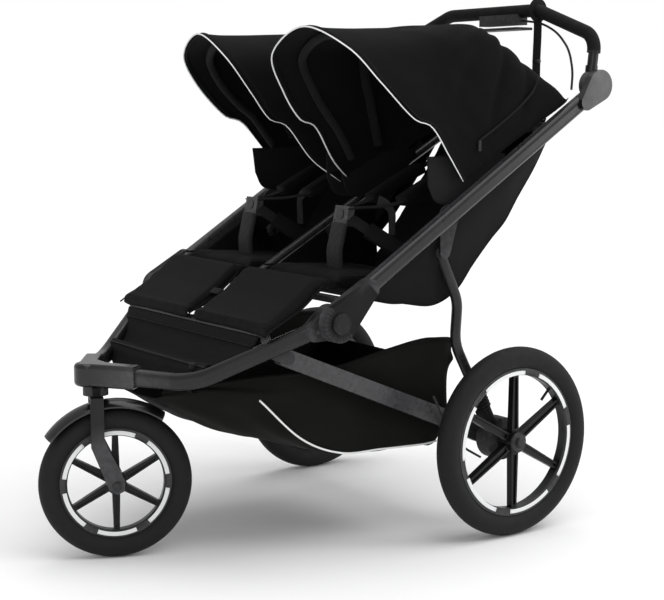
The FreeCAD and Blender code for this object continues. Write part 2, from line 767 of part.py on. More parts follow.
def hood(first, last, drop):
    """The canopy's outline in the Y-Z plane, drawn between two X positions and shrunk by drop."""
    loop = []
    for y, z in CANOPY:
        if z > 900:
            loop.append(Vector(first, y - (drop if y > 100 else 0), z - drop))
        else:
            loop.append(Vector(first, y, z))
    face = Part.Face(Part.makePolygon(loop + loop[:1]))
    return face.extrude(Vector(last - first, 0, 0))


def canopies():
    wall = SIZES["canopy_wall"]
    for label, side in SIDES:
        first = SIZES["canopy_inner"]
        last = SIZES["canopy_outer"]
        outer = hood(first, last, 0.0)
        inner = hood(first + wall, last - wall, wall)
        low = hood(first + wall, last - wall, wall).translated(Vector(0, -8.0, -20.0))
        node(solid("canopy_" + label, sided(outer.cut(inner).cut(low), side)), "canopy_" + label)
        bow("canopy_bow_front_" + label, side, 131.0, 376.0, 30.0)
        bow("canopy_bow_middle_" + label, side, 95.0, 300.0, 40.0)


def bow(label, side, angle, reach, near):
    """A wire hoop from the canopy's pivot up one side, across and down the other."""
    pivot_y = SIZES["canopy_pivot_y"]
    pivot_z = SIZES["canopy_pivot_z"]
    heading = math.radians(angle)
    far = SIZES["canopy_inner"] + SIZES["canopy_outer"] - near
    foot = 22.0
    points = []
    for x, radius in ((near, foot), (near, reach), (far, reach), (far, foot)):
        points.append((x * side, pivot_y + radius * math.cos(heading), pivot_z + radius * math.sin(heading)))
    node(tube(label + "_rod", points, [45.0, 45.0], 4.0), label)


# ---------------------------------------------------------------- rear chassis


def rails():
    axle_z = SIZES["rear_radius"]
    points = [(SIZES["rail_pivot_y"], SIZES["rail_pivot_z"]), (-120.0, 252.0), (0.0, axle_z)]
    half = SIZES["rail_height"] / 2.0
    for label, side in SIDES:
        start = (SIZES["rail_x"] * side) - SIZES["rail_width"] / 2.0
        first = hull_plate(points[0], half - 2.0, points[1], half, start, SIZES["rail_width"])
        second = hull_plate(points[1], half, points[2], half + 3.0, start, SIZES["rail_width"])
        bar = first.fuse(second).removeSplitter()
        bore = Part.makeCylinder(6.06, 60.0, Vector(start - 20.0, *points[0]), Vector(1, 0, 0))
        axle = Part.makeCylinder(14.0, 60.0, Vector(start - 20.0, *points[2]), Vector(1, 0, 0))
        node(solid("rail_" + label, bar.cut(bore).cut(axle)), "rail_" + label)


def axle():
    level = size("rear_radius")
    middle = cylinder("axle_middle", 14.0, 592.0, (-296, 0, level))
    stubs = cylinder("axle_stubs", size("axle_radius"), size("axle_end") * 2.0, (-size("axle_end"), 0, level))
    node(fuse("axle_tube", middle, stubs), "axle_tube")


def brake_drums():
    housings = []
    for label, side in SIDES:
        start = 297.0 if side > 0 else -334.0
        drum = cylinder("drum_" + label, size("drum_radius"), 37.0, (start, 0, size("rear_radius")))
        seat = cylinder("drum_seat_" + label, 17.0, 60.0, (310.0 * side, -12, 212),
                        Rotation(Vector(0, 0, 1), Vector(0, -0.46, 0.89)))
        stub = cylinder("drum_bore_" + label, size("axle_radius"), 60.0, (start - 10.0, 0, size("rear_radius")))
        wheel_side = box("drum_trim_" + label, 30.0, 160.0, 160.0, (334.0 if side > 0 else -364.0, -80, 140))
        housings.append(cut("drum_cut_" + label, fuse("drum_joined_" + label, drum, seat), stub, wheel_side))
    group = doc.addObject("Part::Compound", "brake_drums")
    group.Links = housings
    node(group, "brake_drums")


def bellows():
    """Ribbed boots over the rear suspension springs."""
    ribs = 6
    pitch = 8.0
    points = [(0, 0)]
    for i in range(ribs):
        points += [(16.0, i * pitch), (20.0, (i + 0.5) * pitch)]
    points += [(16.0, ribs * pitch), (0, ribs * pitch)]
    boots = []
    for label, side in SIDES:
        body = doc.addObject("PartDesign::Body", "boot_" + label)
        revolve(body, sketch(body, "XZ_Plane", "boot_profile_" + label, points))
        place(body, (size("strut_x") * side, -39.9, 266.0), Rotation(Vector(0, 0, 1), Vector(0, -0.46, 0.89)))
        boots.append(body)
    group = doc.addObject("Part::Compound", "bellows")
    group.Links = boots
    node(group, "bellows")


def struts():
    pivot = (SIZES["strut_pivot_y"], SIZES["strut_pivot_z"])
    rods = []
    for label, side in SIDES:
        x = SIZES["strut_x"] * side
        points = [(x, pivot[0] + 3.0, pivot[1] - 8.0), (x, -112.0, 498.0), (x, -118.0, 412.0), (x, -65.5, 315.5)]
        rod = tube("strut_rod_" + label, points, [70.0, 90.0], size("strut_radius"))
        eye = cylinder("strut_eye_" + label, 14.0, 22.0, (x - 11.0, *pivot))
        bore = cylinder("strut_bore_" + label, 6.06, 40.0, (x - 20.0, *pivot))
        rods.append(cut("strut_" + label, fuse("strut_joined_" + label, rod, eye), bore))
    group = doc.addObject("Part::Compound", "rear_struts")
    group.Links = rods
    node(group, "rear_struts")


def rear_cables():
    """Brake cables from the rails down to the drums."""
    cords = []
    for label, side in SIDES:
        x = 281.0 * side
        cords.append(tube("rear_cord_" + label, [(x, -150, 300), (x, -105, 222), (x, -60, 176), (x, -18, 152)],
                          [90.0, 70.0], 2.5))
    group = doc.addObject("Part::Compound", "rear_cables")
    group.Links = cords
    node(group, "rear_cables")


def brake_pedal():
    """The parking brake's foot pedal, turning on the rear axle tube."""
    arm = slab("pedal_arm", [(-20, 182), (-20, 218), (22, 220), (74, 236), (78, 228), (30, 196), (18, 182)],
               -30.0, 60.0, 4.0)
    bore = cylinder("pedal_bore", 14.3, 90.0, (-45, 0, size("rear_radius")))
    node(cut("pedal_cut", arm, bore), "brake_pedal")


def build():
    rear_wheels()
    front_wheel()
    fork()
    mudguard()
    swivel_lock()
    front_frame()
    foot_bars()
    footwell()
    calf_pads()
    basket()
    upper_frame()
    seats()
    harnesses()
    handlebar()
    brake_hand_parts()
    canopies()
    rails()
    axle()
    brake_drums()
    bellows()
    struts()
    rear_cables()
    brake_pedal()


def check_and_export():
    """Refuse a failed feature or an invalid piece, then write each piece to its own file."""
    doc.recompute()
    failed = [obj.Label for obj in doc.Objects if {"Invalid", "Error"} & set(obj.State)]
    if failed:
        raise RuntimeError(f"failed features: {failed}")
    os.makedirs("parts", exist_ok=True)
    for obj in NODES:
        shape = obj.Shape
        if shape.isNull() or not shape.isValid() or not shape.Solids:
            raise RuntimeError(f"{obj.Label} has no valid solid")
        shape.exportStep(f"parts/{obj.Label}.step")
    box_all = Part.makeCompound([obj.Shape for obj in NODES]).BoundBox
    print(len(NODES), "pieces;", "x", box_all.XMin, box_all.XMax, "y", box_all.YMin, box_all.YMax,
          "z", box_all.ZMin, box_all.ZMax)


build()
check_and_export()
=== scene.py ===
import math
import bpy
import numpy as np
from mathutils import Matrix, Vector


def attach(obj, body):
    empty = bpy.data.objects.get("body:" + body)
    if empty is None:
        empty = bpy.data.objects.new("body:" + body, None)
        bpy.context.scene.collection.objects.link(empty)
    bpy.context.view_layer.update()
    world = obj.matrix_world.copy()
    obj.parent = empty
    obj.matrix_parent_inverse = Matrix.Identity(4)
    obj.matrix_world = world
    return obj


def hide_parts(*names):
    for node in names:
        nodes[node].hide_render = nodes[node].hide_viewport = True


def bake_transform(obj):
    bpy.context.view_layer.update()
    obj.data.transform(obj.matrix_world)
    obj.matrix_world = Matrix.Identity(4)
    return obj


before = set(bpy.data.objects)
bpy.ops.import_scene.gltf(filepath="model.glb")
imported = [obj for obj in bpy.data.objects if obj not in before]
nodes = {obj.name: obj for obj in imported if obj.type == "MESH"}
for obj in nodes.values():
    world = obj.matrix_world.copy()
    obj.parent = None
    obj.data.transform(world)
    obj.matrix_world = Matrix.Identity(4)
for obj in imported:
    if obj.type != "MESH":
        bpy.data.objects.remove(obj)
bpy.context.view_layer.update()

# A double jogging stroller. Points are metres from the rear axle, as in the CAD source: at() moves
# them back by AXLE_Y into the row frame.
AXLE_Y = 0.311
SIDES = (("left", 1.0), ("right", -1.0))


def at(x, y, z):
    return Vector((x, y + AXLE_Y, z))


# ---------------------------------------------------------------- materials

# A wave texture of scale 1 repeats every tenth of a turn: this over a pitch in metres is its scale.
WAVE_SCALE = 0.31416


def shader(name, rough=0.5, metal=0.0, specular=0.5, coat=0.0, coat_rough=0.2, sheen=0.0, sheen_rough=0.5):
    """A new material and its Principled shader, with the values that are the same all over."""
    mat = bpy.data.materials.new(name)
    mat.use_nodes = True
    bsdf = mat.node_tree.nodes["Principled BSDF"]
    for socket, value in (("Roughness", rough), ("Metallic", metal), ("Specular IOR Level", specular),
                          ("Coat Weight", coat), ("Coat Roughness", coat_rough),
                          ("Sheen Weight", sheen), ("Sheen Roughness", sheen_rough)):
        bsdf.inputs[socket].default_value = value
    return mat, bsdf


def link(mat, kind, **values):
    """A node of that kind with its named sockets or settings filled in."""
    made = mat.node_tree.nodes.new(kind)
    for key, value in values.items():
        if key in made.inputs:
            made.inputs[key].default_value = value
        else:
            setattr(made, key, value)
    return made


def wire(mat, out, into):
    mat.node_tree.links.new(out, into)


def coordinates(mat, use_uv):
    return link(mat, "ShaderNodeTexCoord").outputs["UV" if use_uv else "Object"]


def noise(mat, coords, scale, detail=4.0, rough=0.6):
    made = link(mat, "ShaderNodeTexNoise", Scale=scale, Detail=detail, Roughness=rough)
    wire(mat, coords, made.inputs["Vector"])
    return made.outputs["Fac"]


def ramp(mat, fac, low, high, start=0.3, end=0.7):
    """Two colours mixed by a value that runs from start to end."""
    made = link(mat, "ShaderNodeValToRGB")
    made.color_ramp.elements[0].position = start
    made.color_ramp.elements[1].position = end
    made.color_ramp.elements[0].color = (*low, 1.0)
    made.color_ramp.elements[1].color = (*high, 1.0)
    wire(mat, fac, made.inputs["Fac"])
    return made.outputs["Color"]


def spread(mat, fac, low, high):
    made = link(mat, "ShaderNodeMapRange")
    made.inputs["From Min"].default_value = 0.25
    made.inputs["From Max"].default_value = 0.75
    made.inputs["To Min"].default_value = low
    made.inputs["To Max"].default_value = high
    wire(mat, fac, made.inputs["Value"])
    return made.outputs["Result"]


def math_of(mat, operation, a, b):
    made = link(mat, "ShaderNodeMath", operation=operation)
    for socket, value in zip(made.inputs, (a, b)):
        if isinstance(value, float):
            socket.default_value = value
        else:
            wire(mat, value, socket)
    return made.outputs["Value"]


def bump(mat, bsdf, height, strength, distance, under=None):
    made = link(mat, "ShaderNodeBump", Strength=strength, Distance=distance)
    wire(mat, height, made.inputs["Height"])
    if under is not None:
        wire(mat, under, made.inputs["Normal"])
    wire(mat, made.outputs["Normal"], bsdf.inputs["Normal"])
    return made.outputs["Normal"]


def painted_edge_highlight(mat, coords, plain, highlight_colour):
    """The colour with its sharp edges painted paler in patches: a painted highlight along the edges."""
    edge = link(mat, "ShaderNodeNewGeometry").outputs["Pointiness"]
    sharp = link(mat, "ShaderNodeMapRange")
    sharp.inputs["From Min"].default_value = 0.53
    sharp.inputs["From Max"].default_value = 0.62
    wire(mat, edge, sharp.inputs["Value"])
    patchy = math_of(mat, "MULTIPLY", sharp.outputs["Result"], noise(mat, coords, 90.0))
    made = link(mat, "ShaderNodeMix", data_type="RGBA")
    wire(mat, patchy, made.inputs[0])
    wire(mat, plain, made.inputs[6])
    # Painted highlight: the sharp edges take this paler colour.
    made.inputs[7].default_value = (*highlight_colour, 1.0)
    return made.outputs[2]


def moulded(name, low, high, rough=(0.4, 0.55), grain=900.0, depth=0.00006, highlight_colour=(0.09, 0.09, 0.095), **finish):
    """Paint or moulded plastic: mottled colour, a fine grain, uneven gloss and sharp edges painted paler as a painted
    highlight.
    """
    mat, bsdf = shader(name, **finish)
    coords = coordinates(mat, False)
    mottle = noise(mat, coords, 14.0)
    wire(mat, painted_edge_highlight(mat, coords, ramp(mat, mottle, low, high), highlight_colour), bsdf.inputs["Base Color"])
    wire(mat, spread(mat, noise(mat, coords, 45.0), *rough), bsdf.inputs["Roughness"])
    bump(mat, bsdf, noise(mat, coords, grain, 2.0), 0.35, depth)
    return mat


def threads(mat, coords, pitch, turned):
    """One set of parallel threads, pitch metres apart."""
    turn = link(mat, "ShaderNodeMapping", Rotation=turned)
    wire(mat, coords, turn.inputs["Vector"])
    made = link(mat, "ShaderNodeTexWave", Scale=WAVE_SCALE / pitch, Distortion=0.0)
    wire(mat, turn.outputs["Vector"], made.inputs["Vector"])
    return made.outputs["Fac"]


def woven(name, low, high, pitch=0.0016, use_uv=False, rough=(0.72, 0.9), depth=0.00035, wrinkle=0.0012, **finish):
    """Woven cloth: crossing threads, slubs, faded patches and soft creases."""
    mat, bsdf = shader(name, **finish)
    coords = coordinates(mat, use_uv)
    across = threads(mat, coords, pitch, (0.0, 0.0, 0.0))
    along = threads(mat, coords, pitch, (0.0, 0.0, math.pi / 2) if use_uv else (0.0, 0.9, 1.4))
    weave = math_of(mat, "ADD", across, along)
    slub = noise(mat, coords, 260.0, 3.0)
    patch = noise(mat, coords, 6.0, 5.0)
    tint = math_of(mat, "ADD", math_of(mat, "MULTIPLY", weave, 0.22), math_of(mat, "MULTIPLY", slub, 0.45))
    tint = math_of(mat, "ADD", tint, math_of(mat, "MULTIPLY", patch, 0.35))
    wire(mat, ramp(mat, tint, low, high, 0.35, 0.85), bsdf.inputs["Base Color"])
    wire(mat, spread(mat, patch, *rough), bsdf.inputs["Roughness"])
    creased = bump(mat, bsdf, noise(mat, coords, 17.0, 3.0, 0.5), 0.5, wrinkle)
    bump(mat, bsdf, weave, 0.6, depth, creased)
    return mat


M = {
    "tube": moulded("satin_tube", (0.006, 0.006, 0.0065), (0.011, 0.011, 0.012), (0.24, 0.34), specular=0.32,
                    coat=0.1, coat_rough=0.3),
    "cast": moulded("cast_metal", (0.006, 0.006, 0.006), (0.012, 0.012, 0.0125), (0.42, 0.55), grain=500.0,
                    depth=0.00012, specular=0.3),
    "gloss": moulded("gloss_plastic", (0.005, 0.005, 0.0055), (0.009, 0.009, 0.0095), (0.2, 0.3), specular=0.35,
                     coat=0.2, coat_rough=0.12),
    "plastic": moulded("matt_plastic", (0.005, 0.005, 0.005), (0.010, 0.010, 0.0105), (0.45, 0.6), grain=700.0,
                       depth=0.0001, specular=0.12),
    "rim": moulded("rim_plastic", (0.003, 0.003, 0.0035), (0.007, 0.007, 0.0075), (0.3, 0.45), specular=0.25),
    "foam": moulded("foam_grip", (0.005, 0.005, 0.005), (0.010, 0.010, 0.010), (0.75, 0.92), grain=420.0,
                    depth=0.0004, specular=0.2),
    "boot": moulded("boot_rubber", (0.005, 0.005, 0.005), (0.009, 0.009, 0.009), (0.5, 0.7), grain=300.0,
                    depth=0.0001, specular=0.2),
    "cable": moulded("cable_sheath", (0.005, 0.005, 0.005), (0.009, 0.009, 0.009), (0.35, 0.5), grain=800.0,
                     specular=0.25),
    "grey": moulded("grey_plastic", (0.012, 0.012, 0.013), (0.02, 0.02, 0.021), (0.35, 0.5), specular=0.3),
    "tag": moulded("blank_tag", (0.16, 0.16, 0.165), (0.22, 0.22, 0.225), (0.35, 0.5), highlight_colour=(0.3, 0.3, 0.3)),
    "canopy": woven("canopy_cloth", (0.0022, 0.0022, 0.0025), (0.0065, 0.0065, 0.007), 0.0012, True, specular=0.13,
                    sheen=0.02),
    "lining": woven("canopy_lining", (0.0015, 0.0015, 0.0018), (0.004, 0.004, 0.0045), 0.0012, True, specular=0.08,
                    sheen=0.01),
    # The bow sleeves' cloth is paler than the canopy cloth: a painted highlight.
    "sleeve": woven("bow_sleeve", (0.005, 0.005, 0.0055), (0.012, 0.012, 0.013), 0.0012, False, specular=0.15,
                    sheen=0.04),
    "seat": woven("seat_cloth", (0.002, 0.002, 0.0022), (0.006, 0.006, 0.0065), 0.0018, False, specular=0.12,
                  sheen=0.015),
    "wing": woven("side_mesh", (0.005, 0.005, 0.0055), (0.012, 0.012, 0.013), 0.0024, True, specular=0.15, sheen=0.04,
                  depth=0.0006),
    "basket": woven("basket_cloth", (0.002, 0.0023, 0.0018), (0.0065, 0.0072, 0.0055), 0.0016, True, specular=0.12,
                    sheen=0.015),
    "webbing": woven("webbing", (0.004, 0.004, 0.0045), (0.010, 0.010, 0.011), 0.0022, False, specular=0.15, sheen=0.03,
                     wrinkle=0.0003),
    "pale_webbing": woven("pale_webbing", (0.018, 0.018, 0.019), (0.034, 0.034, 0.036), 0.0022, False, specular=0.2,
                          wrinkle=0.0003),
}


def tyre_material():
    """Rubber with fine radial ribs on its walls and dust in its tread."""
    mat, bsdf = shader("tyre_rubber", rough=0.75, specular=0.3)
    coords = coordinates(mat, False)
    dust = noise(mat, coords, 60.0, 6.0)
    wire(mat, ramp(mat, dust, (0.0045, 0.0045, 0.0045), (0.009, 0.0088, 0.0086)), bsdf.inputs["Base Color"])
    wire(mat, spread(mat, dust, 0.62, 0.85), bsdf.inputs["Roughness"])
    bump(mat, bsdf, noise(mat, coords, 500.0, 2.0), 0.4, 0.00015)
    return mat


def reflective_material():
    """Retroreflective tape: pale, beaded and slightly glowing in even light."""
    mat, bsdf = shader("reflective_tape", rough=0.35, specular=0.6)
    coords = coordinates(mat, False)
    beads = noise(mat, coords, 900.0, 2.0)
    wire(mat, ramp(mat, beads, (0.72, 0.73, 0.74), (0.9, 0.9, 0.9)), bsdf.inputs["Base Color"])
    wire(mat, spread(mat, beads, 0.3, 0.5), bsdf.inputs["Roughness"])
    bump(mat, bsdf, beads, 0.2, 0.0001)
    return mat


M["tyre"] = tyre_material()
M["reflective"] = reflective_material()

FINISHES = {
    "tube": ("front_tube_left", "front_tube_right", "upper_tube_left", "upper_tube_right", "rail_left", "rail_right",
             "handle_tube", "foot_bar", "step_bar", "centre_frame", "back_bar", "rear_struts", "axle_tube"),
    "cast": ("fork",),
    "gloss": ("mudguard", "steering_head", "buckles"),
    "plastic": ("fold_plates", "strut_brackets", "front_axle", "fold_hub_left", "fold_hub_right", "brake_console",
                "brake_lever", "brake_drums", "swivel_lock", "brake_pedal"),
    "rim": ("front_rim", "rear_rim_left", "rear_rim_right"),
    "tyre": ("front_tyre", "rear_tyre_left", "rear_tyre_right"),
    "foam": ("handle_grip",),
    "boot": ("bellows",),
    "cable": ("rear_cables", "handle_cable"),
    "grey": ("release_button_left", "release_button_right", "handle_button_left", "handle_button_right",
             "buckle_button_left", "buckle_button_right"),
    "sleeve": ("canopy_bow_front_left", "canopy_bow_front_right", "canopy_bow_middle_left", "canopy_bow_middle_right"),
}
for finish, names in FINISHES.items():
    for name in names:
        nodes[name].data.materials.clear()
        nodes[name].data.materials.append(M[finish])


# ---------------------------------------------------------------- mesh tools


def curve(points, count, closed=False):
    """Evenly spaced points on a smooth curve through the given ones."""
    pts = np.array(points, float)
    if closed:
        pts = np.vstack([pts[-1:], pts, pts[:2]])
    else:
        pts = np.vstack([2 * pts[:1] - pts[1:2], pts, 2 * pts[-1:] - pts[-2:-1]])
    fine = []
    for i in range(len(pts) - 3):
        a, b, c, d = pts[i:i + 4]
        for t in np.linspace(0, 1, 16, endpoint=False):
            fine.append(0.5 * (2 * b + (c - a) * t + (2 * a - 5 * b + 4 * c - d) * t * t
                               + (3 * b - a - 3 * c + d) * t ** 3))
    fine.append(pts[-2])
    fine = np.array(fine)
    run = np.concatenate([[0], np.cumsum(np.linalg.norm(np.diff(fine, axis=0), axis=1))])
    wanted = np.linspace(0, run[-1], count, endpoint=not closed)
    return np.stack([np.interp(wanted, run, fine[:, k]) for k in range(fine.shape[1])], axis=1)


def grid(rows, across, along):
    """A smooth surface through rows of points, as an array of along x across points."""
    lines = np.array([curve(row, across) for row in rows])
    flat = curve(lines.reshape(len(rows), -1), along) if len(rows) > 1 else lines
    return flat.reshape(along, across, 3)


def new_piece(name, verts, faces, mat, smooth=True):
    mesh = bpy.data.meshes.new(name)
    mesh.from_pydata([tuple(map(float, v)) for v in verts], [], faces)
    mesh.update()
    if smooth:
        mesh.shade_smooth()
    mesh.materials.append(M[mat])
    piece = bpy.data.objects.new(name, mesh)
    bpy.context.scene.collection.objects.link(piece)
    return piece


def lay_uv(piece, points):
    """UVs in metres along a grid of points, so that a weave keeps its size."""
    along, across = points.shape[:2]
    u = np.concatenate([np.zeros((along, 1)), np.cumsum(np.linalg.norm(np.diff(points, axis=1), axis=2), axis=1)], 1)
    v = np.concatenate([np.zeros((1, across)), np.cumsum(np.linalg.norm(np.diff(points, axis=0), axis=2), axis=0)], 0)
    flat = np.stack([u.ravel(), v.ravel()], 1)
    layer = piece.data.uv_layers.new(name="cloth")
    corners = np.array([loop.vertex_index for loop in piece.data.loops])
    layer.data.foreach_set("uv", flat[corners].ravel().astype(np.float32))


def cloth_of(name, points, mat, thick=0.0016, flip=False):
    """A sheet of cloth on a grid of points in the row frame, with a hemmed thickness."""
    along, across = points.shape[:2]
    faces = []
    for i in range(along - 1):
        for j in range(across - 1):
            a = i * across + j
            quad = (a, a + 1, a + across + 1, a + across)
            faces.append(quad[::-1] if flip else quad)
    piece = new_piece(name, points.reshape(-1, 3), faces, mat)
    lay_uv(piece, points)
    if thick:
        solid = piece.modifiers.new("hem", "SOLIDIFY")
        solid.thickness = thick
        solid.offset = 0.0
    return piece


def sweep(name, path, section, mat, up=(0, 0, 1), closed=False):
    """A closed section, given as (side, up) offsets, carried along a path with its up side kept near a direction."""
    path = np.array(path, float)
    n = len(path)
    ahead = np.roll(path, -1, 0) - np.roll(path, 1, 0)
    if not closed:
        ahead[0] = path[1] - path[0]
        ahead[-1] = path[-1] - path[-2]
    ahead /= np.linalg.norm(ahead, axis=1)[:, None]
    ups = np.broadcast_to(np.array(up, float), path.shape).copy()
    side = np.cross(ahead, ups)
    side /= np.maximum(np.linalg.norm(side, axis=1), 1e-9)[:, None]
    lift = np.cross(side, ahead)
    section = np.array(section, float)
    verts = (path[:, None] + side[:, None] * section[None, :, :1] + lift[:, None] * section[None, :, 1:]).reshape(-1, 3)
    k = len(section)
    faces = []
    for i in range(n if closed else n - 1):
        for j in range(k):
            a, b = i * k + j, i * k + (j + 1) % k
            c, d = ((i + 1) % n) * k + (j + 1) % k, ((i + 1) % n) * k + j
            faces.append((a, b, c, d))
    if not closed:
        faces += [tuple(range(k))[::-1], tuple((n - 1) * k + j for j in range(k))]
    return new_piece(name, verts, faces, mat)


def ring(radius, sides=10):
    return [(radius * math.cos(a), radius * math.sin(a)) for a in np.linspace(0, 2 * math.pi, sides, endpoint=False)]


def flat_section(width, thick):
    """A strap's section: flat, with rounded selvedges."""
    w, t = width / 2, thick / 2
    return [(-w, 0), (-w * 0.96, t * 0.8), (-w * 0.86, t), (0, t * 1.05), (w * 0.86, t), (w * 0.96, t * 0.8), (w, 0),
            (w * 0.96, -t * 0.8), (w * 0.86, -t), (0, -t * 1.05), (-w * 0.86, -t), (-w * 0.96, -t * 0.8)]


def pipe(name, points, radius, mat, count=64, up=(0, 0, 1), closed=False, sides=10):
    return sweep(name, curve(points, count, closed), ring(radius, sides), mat, up, closed)


def row_points(points, side=1.0):
    """Points from the axle as an array in the row frame, mirrored for the right."""
    made = np.array([tuple(at(*p)) for p in points])
    made[:, 0] *= side
    return made


def rounded_block(name, low, high, mat, bevel, segments, tilt=0.0):
    """A block with rounded edges between two corners in the row frame, leaning by tilt degrees about X."""
    low, high = np.array(low, float), np.array(high, float)
    corners = [(x, y, z) for x in (low[0], high[0]) for y in (low[1], high[1]) for z in (low[2], high[2])]
    faces = [(0, 1, 3, 2), (4, 6, 7, 5), (0, 4, 5, 1), (2, 3, 7, 6), (0, 2, 6, 4), (1, 5, 7, 3)]
    piece = new_piece(name, corners, faces, mat)
    middle = Vector((low + high) / 2)
    turn = Matrix.Translation(middle) @ Matrix.Rotation(math.radians(tilt), 4, "X") @ Matrix.Translation(-middle)
    piece.data.transform(turn)
    round_off = piece.modifiers.new("round", "BEVEL")
    round_off.width = bevel
    round_off.segments = segments
    return piece


# ---------------------------------------------------------------- camera, light and floor

AMBIENT = 0.6


def camera():
    az, el = math.radians(54.4136), math.radians(7.7751)
    back = Vector((math.sin(az) * math.cos(el), -math.cos(az) * math.cos(el), math.sin(el)))
    right = Vector((math.cos(az), math.sin(az), 0.0))
    up = back.cross(right)
    data = bpy.data.cameras.new("camera")
    data.lens = 79.76
    data.sensor_width = 36.0
    made = bpy.data.objects.new("camera", data)
    made.matrix_world = Matrix(((right.x, up.x, back.x, 2.5936), (right.y, up.y, back.y, -1.7517),
                                (right.z, up.z, back.z, 0.9100), (0, 0, 0, 1)))
    bpy.context.scene.collection.objects.link(made)
    bpy.context.scene.camera = made


def softbox(name, place, target, width, height, power):
    data = bpy.data.lights.new(name, "AREA")
    data.shape = "RECTANGLE"
    data.size = width
    data.size_y = height
    data.energy = power
    made = bpy.data.objects.new(name, data)
    made.location = place
    made.rotation_mode = "QUATERNION"
    made.rotation_quaternion = (Vector(target) - Vector(place)).to_track_quat("-Z", "Y")
    bpy.context.scene.collection.objects.link(made)


def studio():
    scene = bpy.context.scene
    scene.view_settings.view_transform = "Standard"
    world = bpy.data.worlds.new("studio")
    world.use_nodes = True
    tree = world.node_tree
    ambient = tree.nodes["Background"]
    ambient.inputs["Color"].default_value = (1.0, 1.0, 1.0, 1.0)
    ambient.inputs["Strength"].default_value = AMBIENT
    backdrop = tree.nodes.new("ShaderNodeBackground")
    backdrop.inputs["Color"].default_value = (1.0, 1.0, 1.0, 1.0)
    backdrop.inputs["Strength"].default_value = 1.0
    seen = tree.nodes.new("ShaderNodeLightPath")
    mix = tree.nodes.new("ShaderNodeMixShader")
    tree.links.new(seen.outputs["Is Camera Ray"], mix.inputs[0])
    tree.links.new(ambient.outputs[0], mix.inputs[1])
    tree.links.new(backdrop.outputs[0], mix.inputs[2])
    tree.links.new(mix.outputs[0], tree.nodes["World Output"].inputs["Surface"])
    scene.world = world
    sun = bpy.data.lights.new("overhead", "SUN")
    sun.energy = 1.8
    sun.angle = math.radians(70)
    lamp = bpy.data.objects.new("overhead", sun)
    lamp.rotation_euler = (math.radians(-12), math.radians(8), 0.0)
    scene.collection.objects.link(lamp)
    softbox("front_box", (3.0, -2.6, 2.0), (0, 0, 0.6), 1.4, 1.4, 12.0)
    softbox("back_box", (2.4, 2.6, 1.6), (0, 0.2, 0.5), 0.8, 2.0, 20.0)
    mat, bsdf = shader("studio_floor", rough=0.9, specular=0.1)
    coords = coordinates(mat, False)
    wire(mat, ramp(mat, noise(mat, coords, 3.0), (0.93, 0.93, 0.93), (0.95, 0.95, 0.95)), bsdf.inputs["Base Color"])
    side = 30.0
    mesh = bpy.data.meshes.new("floor")
    mesh.from_pydata([(-side, -side, 0), (side, -side, 0), (side, side, 0), (-side, side, 0)], [], [(0, 1, 2, 3)])
    mesh.materials.append(mat)
    floor = bpy.data.objects.new("floor", mesh)
    scene.collection.objects.link(floor)


# ---------------------------------------------------------------- canopies

